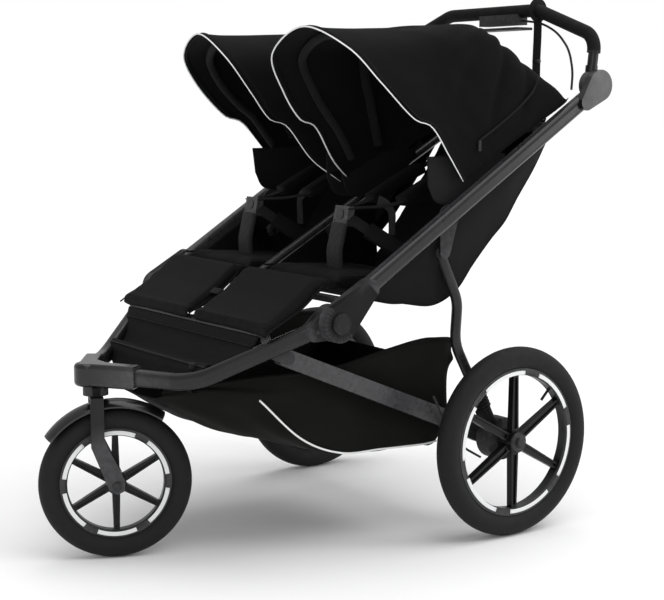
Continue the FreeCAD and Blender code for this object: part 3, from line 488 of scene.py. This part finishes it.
# The left canopy's cloth as rows from the visor's rim to the rear hem. Each row runs from the foot by
# the middle of the stroller over the top to the foot above the side tube.
HOOD = [
    [(0.020, -0.169, 0.732), (0.040, -0.232, 0.780), (0.053, -0.287, 0.852), (0.058, -0.330, 0.869),
     (0.062, -0.373, 0.924), (0.090, -0.419, 0.999), (0.200, -0.420, 1.050), (0.312, -0.392, 1.007),
     (0.345, -0.340, 0.943), (0.352, -0.265, 0.874), (0.350, -0.216, 0.856), (0.342, -0.166, 0.800),
     (0.334, -0.121, 0.746)],
    [(0.020, -0.150, 0.738), (0.035, -0.192, 0.785), (0.045, -0.232, 0.845), (0.050, -0.262, 0.880),
     (0.055, -0.302, 0.935), (0.085, -0.348, 1.005), (0.200, -0.360, 1.047), (0.305, -0.335, 1.012),
     (0.338, -0.290, 0.955), (0.346, -0.232, 0.900), (0.345, -0.196, 0.872), (0.340, -0.150, 0.810),
     (0.334, -0.105, 0.752)],
    [(0.020, -0.125, 0.748), (0.030, -0.145, 0.800), (0.035, -0.165, 0.860), (0.040, -0.182, 0.910),
     (0.045, -0.205, 0.960), (0.075, -0.232, 1.020), (0.190, -0.240, 1.050), (0.298, -0.228, 1.020),
     (0.330, -0.203, 0.965), (0.340, -0.172, 0.905), (0.340, -0.150, 0.865), (0.338, -0.115, 0.810),
     (0.334, -0.072, 0.772)],
    [(0.020, -0.050, 0.785), (0.027, -0.050, 0.835), (0.030, -0.055, 0.885), (0.035, -0.062, 0.930),
     (0.042, -0.066, 0.980), (0.072, -0.060, 1.036), (0.185, -0.045, 1.064), (0.295, -0.052, 1.050),
     (0.328, -0.054, 0.998), (0.338, -0.052, 0.935), (0.340, -0.040, 0.890), (0.339, -0.030, 0.850),
     (0.335, -0.018, 0.806)],
    [(0.020, 0.060, 0.842), (0.025, 0.055, 0.880), (0.028, 0.050, 0.915), (0.032, 0.045, 0.950),
     (0.042, 0.038, 0.985), (0.074, 0.042, 1.024), (0.185, 0.052, 1.042), (0.292, 0.016, 1.022),
     (0.326, 0.028, 0.985), (0.337, 0.044, 0.950), (0.339, 0.055, 0.920), (0.339, 0.062, 0.890),
     (0.335, 0.072, 0.856)],
    [(0.020, 0.130, 0.880), (0.024, 0.128, 0.898), (0.028, 0.126, 0.912), (0.034, 0.123, 0.926),
     (0.045, 0.118, 0.940), (0.078, 0.116, 0.962), (0.180, 0.120, 0.980), (0.284, 0.114, 0.960),
     (0.318, 0.118, 0.945), (0.332, 0.126, 0.932), (0.337, 0.134, 0.920), (0.338, 0.141, 0.908),
     (0.335, 0.150, 0.898)],
    [(0.022, 0.165, 0.890), (0.026, 0.166, 0.893), (0.032, 0.167, 0.895), (0.040, 0.168, 0.897),
     (0.055, 0.169, 0.899), (0.090, 0.170, 0.900), (0.180, 0.171, 0.900), (0.270, 0.171, 0.902),
     (0.305, 0.171, 0.904), (0.318, 0.171, 0.906), (0.326, 0.171, 0.908), (0.330, 0.171, 0.910),
     (0.332, 0.171, 0.912)],
]
HOOD_ACROSS, HOOD_ALONG = 81, 90


def fold(u, v, start, end, depth, width):
    """How deep a crease along the line between two (u, v) places is, over a grid."""
    du, dv = end[0] - start[0], end[1] - start[1]
    t = np.clip(((u - start[0]) * du + (v - start[1]) * dv) / (du * du + dv * dv), 0, 1)
    away = np.hypot(u - start[0] - t * du, v - start[1] - t * dv)
    fade = np.sin(math.pi * np.clip(t, 0.02, 0.98)) ** 0.5
    return depth * fade * np.exp(-(away / width) ** 2)


def normals_of(points):
    du = np.gradient(points, axis=1)
    dv = np.gradient(points, axis=0)
    n = np.cross(du, dv)
    return n / np.maximum(np.linalg.norm(n, axis=2), 1e-9)[:, :, None]


def hood_grid(side):
    rows = [row_points(row, side) for row in HOOD]
    points = grid(rows, HOOD_ACROSS, HOOD_ALONG)
    u, v = np.meshgrid(np.linspace(0, 1, HOOD_ACROSS), np.linspace(0, 1, HOOD_ALONG))
    push = np.zeros_like(u)
    for start, end, depth, width in (
            ((0.60, 0.72), (0.80, 0.30), 0.006, 0.022), ((0.58, 0.66), (0.72, 0.22), 0.005, 0.018),
            ((0.64, 0.74), (0.92, 0.46), 0.006, 0.020), ((0.50, 0.68), (0.55, 0.25), 0.003, 0.030),
            ((0.40, 0.72), (0.22, 0.30), 0.005, 0.022), ((0.36, 0.70), (0.10, 0.45), 0.005, 0.020),
            ((0.70, 0.80), (0.96, 0.62), 0.005, 0.016)):
        push += fold(u, v, start, end, depth, width)
    push += 0.0012 * np.sin(u * 37 + 3 * np.sin(v * 9)) * np.sin(v * 23) * np.sin(math.pi * v)
    return points - normals_of(points) * push[:, :, None] * side


def canopy(label, side):
    points = hood_grid(side)
    hood = cloth_of("canopy_cloth_" + label, points, "canopy", 0.0018, flip=side > 0)
    hood.data.materials.append(M["lining"])
    hood.modifiers["hem"].offset = -1.0
    hood.modifiers["hem"].material_offset = 1
    hood.modifiers["hem"].material_offset_rim = 0
    rim = points[0]
    edging = sweep("visor_piping_" + label, rim, ring(0.0016), "reflective", up=(1, 0.2, 0))
    binding = sweep("visor_binding_" + label, points[1] * 0.6 + points[2] * 0.4, flat_section(0.009, 0.0036), "canopy",
                    up=(0, -0.6, 0.8))
    teeth = row_points([(0.3425, -0.085, 0.828), (0.3435, -0.012, 0.872), (0.3425, 0.050, 0.918),
                        (0.3405, 0.075, 0.953)], side)
    zipper = pipe("canopy_zip_" + label, teeth, 0.0022, "webbing", 60, (1, 0, 0))
    pull = rounded_block("zip_pull_" + label, at(0.3435, -0.091, 0.806), at(0.3465, -0.084, 0.828), "plastic", 0.001, 2)
    if side < 0:
        pull.data.transform(Matrix.Scale(-1, 4, (1, 0, 0)))
        pull.data.flip_normals()
    for piece in (hood, edging, binding, zipper, pull):
        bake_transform(piece)
    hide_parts("canopy_" + label)


def bow_sleeve(label, side, rows, bow, radius, rides_on):
    """The stitched tunnel of cloth round a bow, inside the canopy, in cloth painted paler than the canopy's as a
    painted highlight.
    """
    line = sum(curve(row_points(HOOD[row], side), 90) for row in rows) / len(rows)
    middle = np.array(at(0.17 * side, -0.13, 0.80))
    inward = middle - line
    inward[:, 1] *= 0.25
    inward /= np.linalg.norm(inward, axis=1)[:, None]
    line = (line + inward * (radius + 0.004))[6:-6]
    sleeve = sweep(bow + "_sleeve_" + label, line, ring(radius, 14), "sleeve", up=(0, 1, 0.1))
    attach(sleeve, rides_on + label)
    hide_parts(bow + "_" + label)


camera()
studio()
for label, side in SIDES:
    canopy(label, side)
    bow_sleeve(label, side, (1,), "canopy_bow_front", 0.0085, "canopy_front_")
    bow_sleeve(label, side, (2, 2, 3), "canopy_bow_middle", 0.0095, "canopy_middle_")


# ---------------------------------------------------------------- padding


def prism(name, outline, first, last, mat):
    """A block with that outline in the Y-Z plane, between two X positions."""
    n = len(outline)
    verts = [tuple(at(x, y, z)) for x in (first, last) for y, z in outline]
    faces = [tuple(range(n)), tuple(range(2 * n - 1, n - 1, -1))]
    faces += [(i, i + n, (i + 1) % n + n, (i + 1) % n) for i in range(n)]
    return new_piece(name, verts, faces, mat)


def baked(piece):
    """Replaces the piece's mesh by what its modifiers make of it."""
    seen = piece.evaluated_get(bpy.context.evaluated_depsgraph_get())
    mesh = bpy.data.meshes.new_from_object(seen)
    piece.modifiers.clear()
    piece.data = mesh
    mesh.shade_smooth()
    return piece


def spots_of(piece):
    co = np.zeros(len(piece.data.vertices) * 3)
    piece.data.vertices.foreach_get("co", co)
    return co.reshape(-1, 3)


def set_spots(piece, co):
    piece.data.vertices.foreach_set("co", co.ravel())
    piece.data.update()


def stuffed(piece, voxel=0.006, cap=0.008, pressure=4.0):
    """Remeshes the piece, blows it up like a stuffed cushion and lets no point move further than cap."""
    remesh = piece.modifiers.new("remesh", "REMESH")
    remesh.mode = "VOXEL"
    remesh.voxel_size = voxel
    baked(piece)
    rest = spots_of(piece)
    cloth = piece.modifiers.new("cloth", "CLOTH")
    cloth.settings.use_pressure = True
    cloth.settings.uniform_pressure_force = pressure
    cloth.settings.effector_weights.gravity = 0.0
    cloth.point_cache.frame_start = 1
    cloth.point_cache.frame_end = 20
    for step in range(1, 21):
        bpy.context.scene.frame_set(step)
    baked(piece)
    bpy.context.scene.frame_set(1)
    moved = spots_of(piece) - rest
    far = np.linalg.norm(moved, axis=1)
    moved *= np.minimum(1.0, cap / np.maximum(far, 1e-9))[:, None]
    set_spots(piece, rest + moved)
    relax = piece.modifiers.new("relax", "SMOOTH")
    relax.iterations = 4
    relax.factor = 0.5
    finer = piece.modifiers.new("finer", "SUBSURF")
    finer.levels = finer.render_levels = 1
    return baked(piece)


def channels(piece, lines, depth=0.004, width=0.006):
    """Presses sewn channels into the piece along lines, each two points in the row frame."""
    co = spots_of(piece)
    normal = np.zeros(len(co) * 3)
    piece.data.vertices.foreach_get("normal", normal)
    normal = normal.reshape(-1, 3)
    for start, end in lines:
        a, b = np.array(start), np.array(end)
        along = b - a
        t = np.clip(((co - a) @ along) / (along @ along), 0, 1)
        away = np.linalg.norm(co - a - t[:, None] * along, axis=1)
        co = co - normal * (depth * np.exp(-(away / width) ** 2))[:, None]
    set_spots(piece, co)


def mirrored(piece, name):
    """A copy on the other side of the stroller."""
    mesh = piece.data.copy()
    mesh.transform(Matrix.Scale(-1, 4, (1, 0, 0)))
    mesh.flip_normals()
    twin = bpy.data.objects.new(name, mesh)
    bpy.context.scene.collection.objects.link(twin)
    return twin


def pair(name, piece, body, node):
    """Declares a pad and its mirrored twin, each in place of its CAD node."""
    for label, side in SIDES:
        pad = piece if side > 0 else mirrored(piece, name + "_right")
        if side > 0:
            pad.name = name + "_left"
        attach(pad, body.replace("SIDE", label))
        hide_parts(node + "_" + label)


def seam(name, points, radius, body="upper_frame"):
    """A corded seam along points, on both sides of the stroller."""
    for label, side in SIDES:
        made = pipe(name + "_" + label, row_points(points, side), radius, "seat", 60, (1, 0, 0), False, 8)
        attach(made, body)


def seat_cushions():
    outline = [(-0.398, 0.549), (-0.402, 0.561), (-0.393, 0.569), (-0.300, 0.561), (-0.168, 0.552), (-0.158, 0.540),
               (-0.186, 0.503), (-0.254, 0.506), (-0.342, 0.527)]
    pad = stuffed(prism("seat_cushion", outline, 0.030, 0.295, "seat"), cap=0.007)
    lines = [(at(0.030, y, z), at(0.295, y, z)) for y, z in ((-0.345, 0.572), (-0.245, 0.565))]
    channels(pad, lines)
    pair("seat_cushion", pad, "upper_frame", "seat")
    for x in (0.026, 0.299):
        seam("seat_piping_%d" % (x * 1000), [(x, -0.400, 0.568), (x, -0.300, 0.564), (x, -0.166, 0.556)], 0.0018)


def back_cushions():
    outline = [(-0.110, 0.544), (0.090, 0.812), (0.074, 0.828), (-0.030, 0.692), (-0.130, 0.558)]
    pad = stuffed(prism("back_cushion", outline, 0.034, 0.280, "seat"), cap=0.009)
    lines = [(at(0.034, y - 0.012, z + 0.009), at(0.280, y - 0.012, z + 0.009))
             for y, z in ((-0.085, 0.618), (-0.030, 0.692), (0.022, 0.762))]
    channels(pad, lines, 0.005)
    pair("back_cushion", pad, "backrest_SIDE", "backrest")


def calf_cushions():
    outline = [(-0.568, 0.462), (-0.562, 0.4725), (-0.548, 0.4745), (-0.487, 0.503), (-0.438, 0.541), (-0.418, 0.550),
               (-0.410, 0.562), (-0.424, 0.569), (-0.445, 0.558), (-0.494, 0.519), (-0.548, 0.486), (-0.567, 0.481),
               (-0.575, 0.466)]
    pad = stuffed(prism("calf_cushion", outline, 0.012, 0.292, "seat"), voxel=0.0045, cap=0.006)
    channels(pad, [(at(0.012, -0.431, 0.569), at(0.292, -0.431, 0.569))], 0.004, 0.004)
    pair("calf_cushion", pad, "front_frame", "calf_pad")
    for x in (0.010, 0.294):
        seam("calf_piping_%d" % (x * 1000), [(x, -0.571, 0.468), (x, -0.548, 0.481), (x, -0.488, 0.512),
                                             (x, -0.440, 0.552)], 0.0018, "front_frame")
    bridge = sweep("calf_bridge", np.array([at(x, -0.500, 0.517) for x in (-0.018, -0.006, 0.006, 0.018)]),
                   flat_section(0.016, 0.002), "webbing", (0, -0.6, 0.8))
    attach(bridge, "front_frame")
    for label, side in SIDES:
        tag = rounded_block("calf_tag_" + label, at(0.140, -0.462, 0.5475), at(0.176, -0.451, 0.5490), "tag", 0.0004, 2,
                            tilt=40.5)
        if side < 0:
            tag.data.transform(Matrix.Scale(-1, 4, (1, 0, 0)))
            tag.data.flip_normals()
        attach(tag, "front_frame")


# ---------------------------------------------------------------- seat sides and back


def tube_z(y):
    return 0.530 + (y + 0.400) * 0.626


def side_panels():
    """Cloth that hangs from each side tube down to the seat."""
    low = [(-0.400, 0.542), (-0.330, 0.523), (-0.232, 0.502), (-0.160, 0.494), (-0.100, 0.520), (-0.060, 0.565),
           (-0.033, 0.594), (-0.003, 0.624), (0.032, 0.656), (0.066, 0.704), (0.112, 0.765), (0.150, 0.826)]
    high = [(y + 0.012, tube_z(y + 0.012) - 0.006) for y in np.linspace(-0.402, 0.150, 12)]
    for label, side in SIDES:
        rows = []
        for t, x in ((0.0, 0.322), (0.35, 0.313), (0.7, 0.300), (1.0, 0.290)):
            rows.append([(x, a[0] * (1 - t) + b[0] * t, a[1] * (1 - t) + b[1] * t) for a, b in zip(high, low)])
        points = grid([row_points(row, side) for row in rows], 90, 26)
        piece = cloth_of("side_panel_" + label, points, "canopy", 0.0014)
        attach(piece, "upper_frame")
        trim = sweep("side_panel_edge_" + label, points[-1], ring(0.0022, 8), "seat", up=(1, 0, 0))
        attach(trim, "upper_frame")


def back_panels():
    """The sling behind each child."""
    spine = [(-0.150, 0.497), (-0.112, 0.516), (-0.072, 0.560), (-0.036, 0.603), (0.002, 0.640), (0.050, 0.700),
             (0.098, 0.764), (0.138, 0.822), (0.158, 0.862)]
    for label, side in SIDES:
        rows = []
        for i, (y, z) in enumerate(spine):
            sag = 0.016 * math.sin(math.pi * i / (len(spine) - 1))
            rows.append([(0.018, y - 0.022, z + 0.014), (0.060, y - 0.004, z + 0.003), (0.160, y + sag, z - sag * 0.7),
                         (0.260, y - 0.002, z + 0.002), (0.289, y - 0.010, z + 0.008)])
        points = grid([row_points(row, side) for row in rows], 40, 60)
        piece = cloth_of("back_panel_" + label, points, "canopy", 0.0016)
        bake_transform(piece)


def side_wings():
    """Pale mesh wings that close the sides between backrest and canopy."""
    top = [(-0.205, 0.797), (-0.150, 0.797), (-0.100, 0.798), (-0.050, 0.799), (0.000, 0.800)]
    low = [(-0.200, 0.740), (-0.178, 0.705), (-0.125, 0.700), (-0.060, 0.725), (0.005, 0.788)]
    for name, foot_x, top_x in (("inner", 0.028, 0.024), ("outer", 0.318, 0.322)):
        for label, side in SIDES:
            rows = []
            for t in (0.0, 0.5, 1.0):
                x = foot_x * t + top_x * (1 - t)
                rows.append([(x, a[0] * (1 - t) + b[0] * t, a[1] * (1 - t) + b[1] * t) for a, b in zip(top, low)])
            points = grid([row_points(row, side) for row in rows], 40, 20)
            piece = cloth_of(name + "_wing_" + label, points, "wing", 0.0014)
            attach(piece, "upper_frame")


# ---------------------------------------------------------------- harness


def strap(name, points, width, mat, up, side=1.0, thick=0.0022, count=40):
    return sweep(name, curve(row_points(points, side), count), flat_section(width, thick), mat, up)


def harness(label, side):
    body = "backrest_" + label
    fixed, moving, crossing = [], [], []
    lean = (0, -0.45, 0.89)
    middle = 0.170
    for hand in (-1, 1):
        x = middle + 0.052 * hand
        tag = "%s_%s" % ("a" if hand < 0 else "b", label)
        pad = strap("shoulder_pad_" + tag, [(x, -0.190, 0.702), (x, -0.150, 0.722), (x, -0.105, 0.744),
                                            (x - 0.004 * hand, -0.060, 0.764)], 0.036, "seat", lean, side, 0.020)
        moving.append(pad)
        moving.append(strap("shoulder_web_" + tag, [(x, -0.070, 0.760), (x - 0.005 * hand, -0.010, 0.784),
                                                    (x - 0.012 * hand, 0.050, 0.801)], 0.025, "webbing", lean, side))
        tail = [(middle + 0.014 * hand, -0.302, 0.690), (middle + 0.024 * hand, -0.270, 0.691),
                (middle + 0.040 * hand, -0.230, 0.693), (x, -0.196, 0.700), (x, -0.180, 0.708)]
        crossing.append(strap("shoulder_tail_" + tag, tail, 0.025, "webbing", (0, -0.3, 0.95), side))
        outward = (0.5 * hand * side, -0.5, 0.7)
        waist = [(middle + 0.018 * hand, -0.300, 0.672), (middle + 0.050 * hand, -0.288, 0.655),
                 (middle + 0.090 * hand, -0.240, 0.612), (middle + 0.110 * hand, -0.175, 0.572)]
        fixed.append(strap("waist_" + tag, waist, 0.025, "webbing", outward, side))
        waist_pad = [(middle + 0.060 * hand, -0.283, 0.649), (middle + 0.085 * hand, -0.250, 0.622),
                     (middle + 0.100 * hand, -0.215, 0.598)]
        fixed.append(strap("waist_pad_" + tag, waist_pad, 0.036, "seat", outward, side, 0.010))
    moving.append(strap("strap_tab_" + label, [(0.138, -0.186, 0.700), (0.158, -0.180, 0.692), (0.170, -0.175, 0.676),
                                               (0.170, -0.174, 0.650), (0.170, -0.174, 0.628)], 0.022, "pale_webbing",
                        (0, -1, 0), side, 0.003))
    crotch = strap("crotch_pad_" + label, [(0.17, -0.319, 0.556), (0.17, -0.322, 0.600), (0.17, -0.316, 0.630),
                                           (0.17, -0.309, 0.660)], 0.044, "pale_webbing", (0, -1, 0), side, 0.013)
    fixed.append(crotch)
    for piece in fixed:
        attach(piece, "upper_frame")
    for piece in moving:
        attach(piece, body)
    for piece in crossing:
        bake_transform(piece)
    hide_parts("shoulder_straps_" + label)
    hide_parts("lap_straps")


# ---------------------------------------------------------------- basket and footwell

# Stations of the basket from front to back: y, the rim's half width and height, the seam's, and the
# height of the middle of the floor.
BASKET = [
    (-0.690, 0.112, 0.346, 0.106, 0.334, 0.322), (-0.620, 0.172, 0.362, 0.168, 0.344, 0.280),
    (-0.550, 0.226, 0.373, 0.234, 0.335, 0.246), (-0.456, 0.236, 0.374, 0.240, 0.247, 0.214),
    (-0.359, 0.237, 0.377, 0.240, 0.205, 0.198), (-0.258, 0.237, 0.396, 0.240, 0.199, 0.190),
    (-0.150, 0.237, 0.410, 0.240, 0.194, 0.187), (-0.110, 0.237, 0.410, 0.240, 0.196, 0.190),
    (-0.080, 0.237, 0.408, 0.239, 0.250, 0.238), (-0.062, 0.236, 0.404, 0.236, 0.360, 0.352),
]


def basket():
    rows = []
    for y, rim, rim_z, edge, edge_z, floor_z in BASKET:
        half = [(rim, y, rim_z), (edge - 0.004, y, rim_z * 0.5 + edge_z * 0.5), (edge, y, edge_z),
                (edge * 0.72, y, edge_z * 0.3 + floor_z * 0.7), (edge * 0.35, y, floor_z + 0.001)]
        rows.append(row_points(half + [(0, y, floor_z)] + [(-x, b, c) for x, b, c in half[::-1]]))
    points = grid(rows, 121, 110)
    u, v = np.meshgrid(np.linspace(-1, 1, 121), np.linspace(0, 1, 110))
    inward = normals_of(points)
    inward *= np.sign((inward * (np.array([0.0, 0.0, 0.33]) - points)[:, :, :]).sum(2))[:, :, None]
    sag = 0.0025 * np.sin(v * 31 + 4 * u * u) * np.sin(u * 9 + 5 * v) + 0.002 * np.sin(u * 23 - v * 17)
    points = points + inward * (sag * np.sin(math.pi * v))[:, :, None]
    shell = cloth_of("basket_cloth", points, "basket", 0.0018)
    hem = sweep("basket_hem", points[:, 0], ring(0.0045, 10), "basket", up=(1, 0, 0))
    far_hem = sweep("basket_hem_far", points[:, -1], ring(0.0045, 10), "basket", up=(1, 0, 0))
    pieces = [shell, hem, far_hem]
    for label, side in SIDES:
        line = row_points([(edge + 0.0045, y, edge_z - 0.003) for y, _, _, edge, edge_z, _ in BASKET[2:8]], side)
        pieces.append(pipe("basket_piping_" + label, line, 0.0020, "reflective", 90, (1, 0, 0)))
    for piece in pieces:
        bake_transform(piece)
    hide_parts("basket")


# The footwell's cloth from behind the foot bar, down to the step bar and round under the feet: y, the
# half width and the height.
FOOTWELL = [
    (-0.5655, 0.262, 0.460), (-0.5690, 0.260, 0.453), (-0.574, 0.256, 0.442), (-0.582, 0.248, 0.428),
    (-0.603, 0.228, 0.401), (-0.622, 0.210, 0.394), (-0.637, 0.198, 0.4045), (-0.6495, 0.194, 0.394),
    (-0.654, 0.184, 0.374), (-0.655, 0.160, 0.352), (-0.640, 0.152, 0.343), (-0.575, 0.200, 0.343),
]


def footwell():
    """The sling under the children's feet: one sheet over the foot bar and the step bar and back below."""
    rows = []
    for y, half, z in FOOTWELL:
        sag = 0.004 if 0.39 < z < 0.43 else 0.0
        across = (-1.0, -0.66, -0.33, 0.0, 0.33, 0.66, 1.0)
        rows.append(row_points([(half * t, y, z - sag * (1 - t * t)) for t in across]))
    points = grid(rows, 80, 90)
    tray = cloth_of("footwell_cloth", points, "seat", 0.0022)
    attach(tray, "front_frame")
    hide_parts("footwell")
    edge = row_points([(x, -0.647, 0.4005) for x in (-0.195, 0.0, 0.195)])
    piping = pipe("step_piping", edge, 0.0014, "pale_webbing", 40)
    crease = row_points([(x, -0.5765, 0.442) for x in (-0.250, 0.0, 0.250)])
    stitch = pipe("foot_bar_seam", crease, 0.0012, "webbing", 40)
    clip = rounded_block("step_clip", at(0.150, -0.656, 0.392), at(0.166, -0.645, 0.405), "plastic", 0.002, 3)
    for piece in piping, stitch, clip:
        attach(piece, "front_frame")


def inner_panels():
    """Cloth from the middle tube down to each seat's inner edge."""
    for label, side in SIDES:
        rows = []
        for t, x in ((0.0, 0.0105), (0.5, 0.016), (1.0, 0.027)):
            row = []
            for y in (-0.405, -0.370, -0.300, -0.230, -0.160, -0.100):
                top = 0.556 + (y + 0.380) * 0.565 - 0.006
                row.append((x, y, top * (1 - t) + 0.541 * t))
            rows.append(row_points(row, side))
        points = grid(rows, 50, 16)
        piece = cloth_of("inner_panel_" + label, points, "lining", 0.0014)
        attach(piece, "upper_frame")


# ---------------------------------------------------------------- wheels and handle


def wheel_marks(label, body, centre, ahead, up, out, radius, first):
    """Six reflective arcs on a rim's outer face, and its valve."""
    centre, ahead, up, out = (np.array(v, float) for v in (centre, ahead, up, out))
    for i in range(6):
        turn = np.radians(first + 60 * i + np.linspace(8, 52, 16))
        path = centre + radius * (np.cos(turn)[:, None] * ahead + np.sin(turn)[:, None] * up)
        arc = sweep("rim_arc_%s_%d" % (label, i), path, flat_section(0.0085, 0.0008), "reflective", tuple(out))
        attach(arc, body)
    turn = math.radians(first + 30)
    spoke = math.cos(turn) * ahead + math.sin(turn) * up
    stem = pipe("valve_" + label, [centre + spoke * (radius - 0.004) - out * 0.014,
                                   centre + spoke * (radius - 0.020) - out * 0.014,
                                   centre + spoke * (radius - 0.036) - out * 0.014], 0.0030, "boot", 12, tuple(out))
    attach(stem, body)


def wrist_strap():
    """The safety loop that hangs from the handlebar, with its slider."""
    hang = [(0.150, 0.2500, 1.088), (0.151, 0.2490, 1.050), (0.150, 0.2480, 0.998), (0.149, 0.2490, 0.950),
            (0.150, 0.2500, 0.920)]
    loop = strap("wrist_strap", hang, 0.018, "webbing", (0.8, -0.6, 0), 1.0, 0.004)
    collar = sweep("wrist_strap_collar", curve([at(0.15, 0.25 + 0.018 * math.cos(a), 1.106 + 0.018 * math.sin(a))
                                                for a in np.linspace(0, 2 * math.pi, 12, endpoint=False)], 36, True),
                   flat_section(0.018, 0.002), "webbing", (1, 0, 0), True)
    slider = rounded_block("wrist_strap_slider", at(0.139, 0.2445, 0.990), at(0.161, 0.2525, 0.998), "grey", 0.002, 2)
    for piece in loop, collar, slider:
        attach(piece, "handlebar")


seat_cushions()
back_cushions()
calf_cushions()
side_panels()
inner_panels()
back_panels()
side_wings()
for label, side in SIDES:
    harness(label, side)
basket()
footwell()
for label, side in SIDES:
    wheel_marks("rear_" + label, "rear_wheel_" + label, at(0.3772 * side, 0.0, 0.200), (0, 1, 0), (0, 0, 1),
                (side, 0, 0), 0.147, 15.0)
STEER_AXIS = (0.9219, -0.3875, 0.0)
wheel_marks("front", "front_wheel", np.array(at(0.01395, -0.7478, 0.1525)) + 0.0146 * np.array(STEER_AXIS),
            (0.3875, 0.9219, 0.0), (0, 0, 1), STEER_AXIS, 0.103, 0.0)
wrist_strap()
